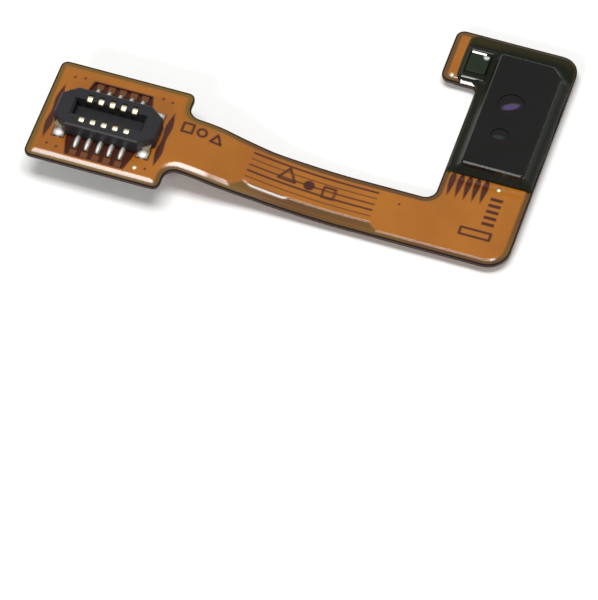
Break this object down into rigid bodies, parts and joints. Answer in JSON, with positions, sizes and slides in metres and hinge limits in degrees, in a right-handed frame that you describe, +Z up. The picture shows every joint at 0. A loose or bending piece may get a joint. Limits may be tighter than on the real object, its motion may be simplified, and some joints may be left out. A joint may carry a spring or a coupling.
{
  "type": "flexible circuit cable with board connector and optical sensor",
  "caption": "Bent amber flexible circuit with steel stiffeners, a two-row board connector, an optical sensor under dark resin and a small indicator light.",
  "frame": {"origin": "middle of the film's outline in plan, at the underside of the sensor end's steel plate", "axes": "+X runs along the ribbon from the connector pad to the sensor stem, +Y from the ribbon up the stem to the tab, +Z up out of the component side"},
  "size_m": [0.0166, 0.0102, 0.002],
  "materials": {
    "polyimide_film": "satin amber film",
    "etched_copper": "etched",
    "cover_film": "glossy amber film",
    "tinned_pads": "bright",
    "steel_plate": "fine brushed",
    "plate_adhesive": "dark",
    "black_moulding": "fine matt",
    "gold_contacts": "gold flash",
    "tinned_clip": "bright",
    "solder": "bright",
    "sensor_laminate": "dark laminate",
    "sensor_black": "satin black",
    "silicon": "polished",
    "sensor_window": "tinted clear moulding",
    "indicator_laminate": "pale laminate",
    "indicator_metal": "bright",
    "indicator_lens": "clear moulding",
    "dark_resin": "glossy dark resin"
  },
  "bodies": {
    "root": {"base_film": "polyimide_film", "front_copper": "etched_copper", "back_copper": "etched_copper", "plated_vias": "etched_copper", "front_coverlay": "cover_film", "back_coverlay": "cover_film", "contact_pads": "tinned_pads", "test_points": "tinned_pads", "connector_plate": "steel_plate", "sensor_plate": "steel_plate", "connector_plate_adhesive": "plate_adhesive", "sensor_plate_adhesive": "plate_adhesive", "connector_housing": "black_moulding", "contact_01": "gold_contacts", "contact_02": "gold_contacts", "contact_03": "gold_contacts", "contact_04": "gold_contacts", "contact_05": "gold_contacts", "contact_06": "gold_contacts", "contact_07": "gold_contacts", "contact_08": "gold_contacts", "contact_09": "gold_contacts", "contact_10": "gold_contacts", "hold_down_left": "tinned_clip", "hold_down_right": "tinned_clip", "contact_solder": "solder", "hold_down_solder": "solder", "sensor_solder": "solder", "indicator_solder": "solder", "sensor_substrate": "sensor_laminate", "sensor_cap": "sensor_black", "emitter_die": "silicon", "detector_die": "silicon", "indicator_die": "silicon", "emitter_window": "sensor_window", "detector_window": "sensor_window", "indicator_base": "indicator_laminate", "indicator_terminals": "indicator_metal", "indicator_lens": "indicator_lens", "sealing_resin": "dark_resin"}
  },
  "joints": []
}
